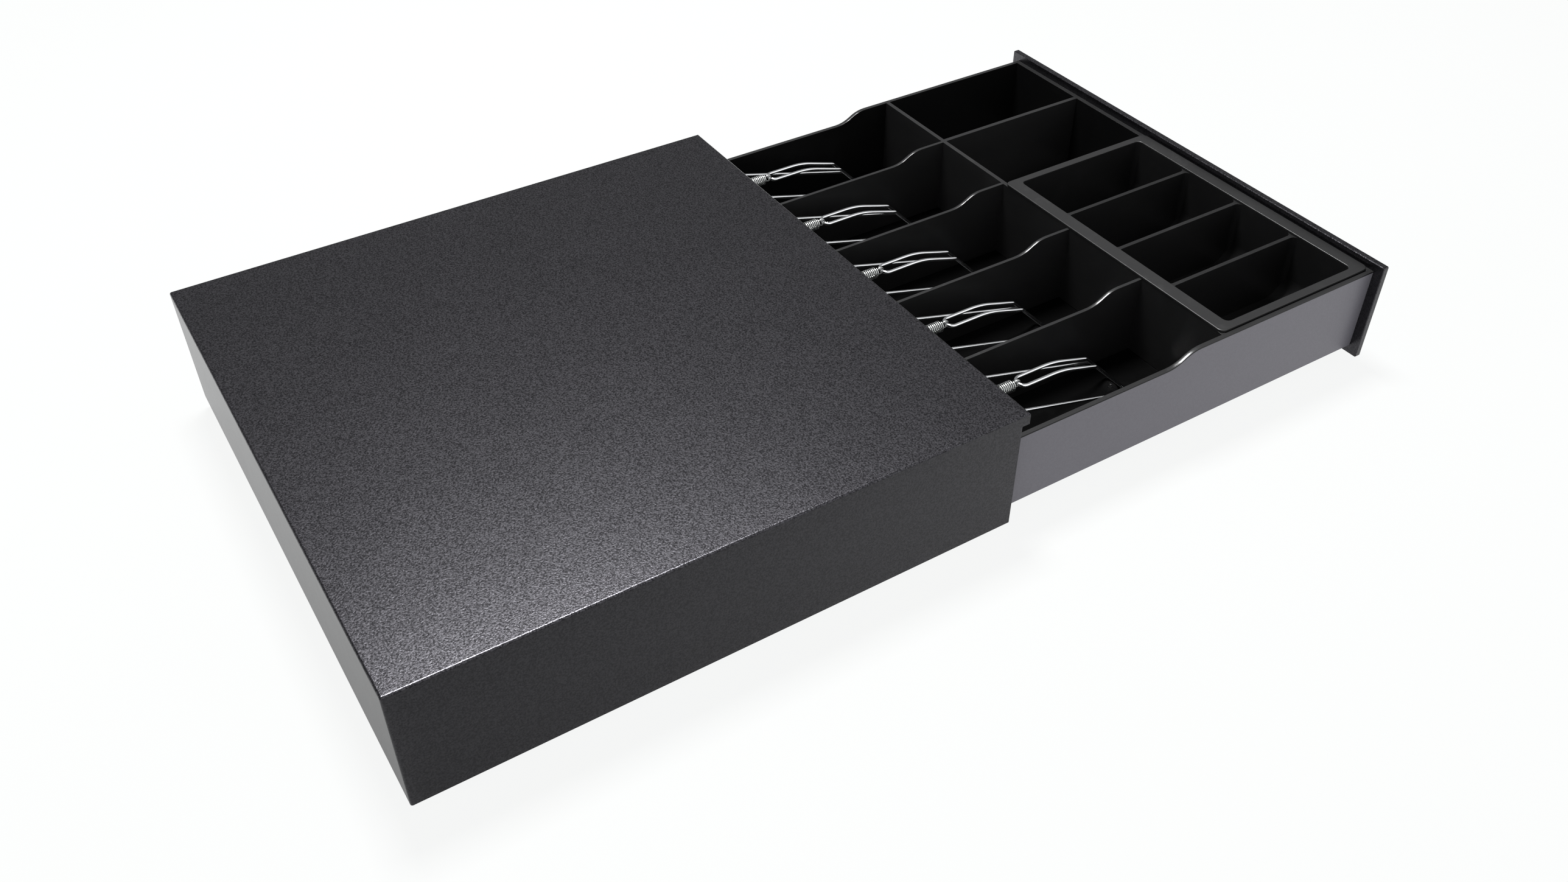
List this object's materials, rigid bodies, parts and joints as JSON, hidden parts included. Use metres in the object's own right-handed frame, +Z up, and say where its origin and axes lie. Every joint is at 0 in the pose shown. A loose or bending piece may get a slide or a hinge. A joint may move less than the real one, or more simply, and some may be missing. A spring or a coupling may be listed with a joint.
{
  "type": "cash drawer",
  "caption": "Shallow steel box housing with a sliding till drawer holding note compartments under wire clips, a lift-out coin tray and fixed front compartments.",
  "frame": {"origin": "centre of the four fixing holes in the base plate, on the plate's underside", "axes": "+Z up; +X across the width, from the coin tray's side towards the fixed front compartments; the drawer slides out along -Y and is drawn fully open"},
  "size_m": [0.41, 0.7414, 0.1],
  "materials": {
    "powder_coat": "fine satin powder coat",
    "drawer_steel": "satin",
    "till_plastic": "satin moulded",
    "tray_plastic": "satin moulded",
    "clip_chrome": "polished",
    "zinc_steel": "zinc plated",
    "nylon": "satin",
    "rubber": "matt",
    "lock_metal": "satin",
    "plug_brass": "satin",
    "coil_tape": "satin",
    "black_plastic": "matt"
  },
  "bodies": {
    "housing": {"housing_cover": "powder_coat", "base_plate": "zinc_steel", "rubber_feet": "rubber", "foot_screws": "zinc_steel", "cover_screws": "zinc_steel", "guide_rail_left": "zinc_steel", "guide_rail_right": "zinc_steel", "stop_bumpers": "rubber", "roller_brackets": "zinc_steel", "front_roller_axles": "zinc_steel", "ejector_springs": "zinc_steel", "ejector_posts": "nylon", "latch_bracket": "zinc_steel", "latch_pivot_pin": "zinc_steel", "solenoid_frame": "zinc_steel", "solenoid_coil": "coil_tape", "latch_spring": "zinc_steel", "latch_screws": "zinc_steel", "control_socket": "black_plastic", "wiring_cable": "black_plastic", "reed_switch": "black_plastic"},
    "drawer": {"drawer_pan": "drawer_steel", "front_panel": "powder_coat", "panel_screws": "zinc_steel", "till_insert": "till_plastic", "clip_pivot_rod": "zinc_steel", "spring_anchor_rod": "zinc_steel", "clip_spring_1": "zinc_steel", "clip_spring_2": "zinc_steel", "clip_spring_3": "zinc_steel", "clip_spring_4": "zinc_steel", "clip_spring_5": "zinc_steel", "rear_roller_axles": "zinc_steel", "strike_plate": "zinc_steel", "strike_screws": "zinc_steel", "sensor_magnet": "zinc_steel", "lock_barrel": "lock_metal", "lock_clip": "zinc_steel"},
    "coin_tray": {"coin_tray": "tray_plastic"},
    "lock_core": {"lock_plug": "plug_brass", "lock_cam": "zinc_steel", "cam_screw": "zinc_steel"},
    "latch": {"latch_lever": "zinc_steel"},
    "plunger": {"solenoid_plunger": "zinc_steel", "plunger_pin": "zinc_steel"},
    "front_roller_left": {"front_roller_left": "nylon"},
    "front_roller_right": {"front_roller_right": "nylon"},
    "rear_roller_left": {"rear_roller_left": "nylon"},
    "rear_roller_right": {"rear_roller_right": "nylon"},
    "clip_1": {"note_clip_1": "clip_chrome"},
    "clip_2": {"note_clip_2": "clip_chrome"},
    "clip_3": {"note_clip_3": "clip_chrome"},
    "clip_4": {"note_clip_4": "clip_chrome"},
    "clip_5": {"note_clip_5": "clip_chrome"}
  },
  "joints": [
    {"name": "drawer_slide", "type": "slide", "parent": "housing", "child": "drawer", "axis": [0, -1, 0], "range_m": [-0.3283, 0], "deforming": ["ejector_springs"]},
    {"name": "tray_lift", "type": "slide", "parent": "drawer", "child": "coin_tray", "axis": [0, 0, 1], "range_m": [0, 0.08]},
    {"name": "clip_1_hinge", "type": "hinge", "parent": "drawer", "child": "clip_1", "pos_m": [-0.1544, -0.1773, 0.071], "axis": [-1, 0, 0], "range_deg": [0, 25], "deforming": ["clip_spring_1"]},
    {"name": "clip_2_hinge", "type": "hinge", "parent": "drawer", "child": "clip_2", "pos_m": [-0.0772, -0.1773, 0.071], "axis": [-1, 0, 0], "range_deg": [0, 25], "deforming": ["clip_spring_2"]},
    {"name": "clip_3_hinge", "type": "hinge", "parent": "drawer", "child": "clip_3", "pos_m": [0, -0.1773, 0.071], "axis": [-1, 0, 0], "range_deg": [0, 25], "deforming": ["clip_spring_3"]},
    {"name": "clip_4_hinge", "type": "hinge", "parent": "drawer", "child": "clip_4", "pos_m": [0.0772, -0.1773, 0.071], "axis": [-1, 0, 0], "range_deg": [0, 25], "deforming": ["clip_spring_4"]},
    {"name": "clip_5_hinge", "type": "hinge", "parent": "drawer", "child": "clip_5", "pos_m": [0.1544, -0.1773, 0.071], "axis": [-1, 0, 0], "range_deg": [0, 25], "deforming": ["clip_spring_5"]},
    {"name": "lock_turn", "type": "hinge", "parent": "drawer", "child": "lock_core", "pos_m": [0, -0.5339, 0.038], "axis": [0, -1, 0], "range_deg": [0, 90]},
    {"name": "latch_pivot", "type": "hinge", "parent": "housing", "child": "latch", "pos_m": [0, 0.1995, 0.038], "axis": [-1, 0, 0], "range_deg": [0, 13]},
    {"name": "plunger_slide", "type": "slide", "parent": "housing", "child": "plunger", "axis": [0, 0, 1], "range_m": [0, 0.0022], "deforming": ["latch_spring"]},
    {"name": "front_roller_left_spin", "type": "hinge", "parent": "housing", "child": "front_roller_left", "pos_m": [-0.179, -0.19, 0.00425], "axis": [1, 0, 0], "range_deg": [-6718, 0]},
    {"name": "front_roller_right_spin", "type": "hinge", "parent": "housing", "child": "front_roller_right", "pos_m": [0.179, -0.19, 0.00425], "axis": [1, 0, 0], "range_deg": [-6718, 0]},
    {"name": "rear_roller_left_spin", "type": "hinge", "parent": "drawer", "child": "rear_roller_left", "pos_m": [-0.2002, -0.163, 0.03], "axis": [1, 0, 0], "range_deg": [-2352, 0]},
    {"name": "rear_roller_right_spin", "type": "hinge", "parent": "drawer", "child": "rear_roller_right", "pos_m": [0.2002, -0.163, 0.03], "axis": [1, 0, 0], "range_deg": [-2352, 0]}
  ],
  "couplings": [
    {"joint": "plunger_slide", "follows": "latch_pivot", "m_per_rad": 0.0095},
    {"joint": "front_roller_left_spin", "follows": "drawer_slide", "rad_per_m": 357.14},
    {"joint": "rear_roller_left_spin", "follows": "drawer_slide", "rad_per_m": 125},
    {"joint": "front_roller_right_spin", "follows": "drawer_slide", "rad_per_m": 357.14},
    {"joint": "rear_roller_right_spin", "follows": "drawer_slide", "rad_per_m": 125}
  ]
}
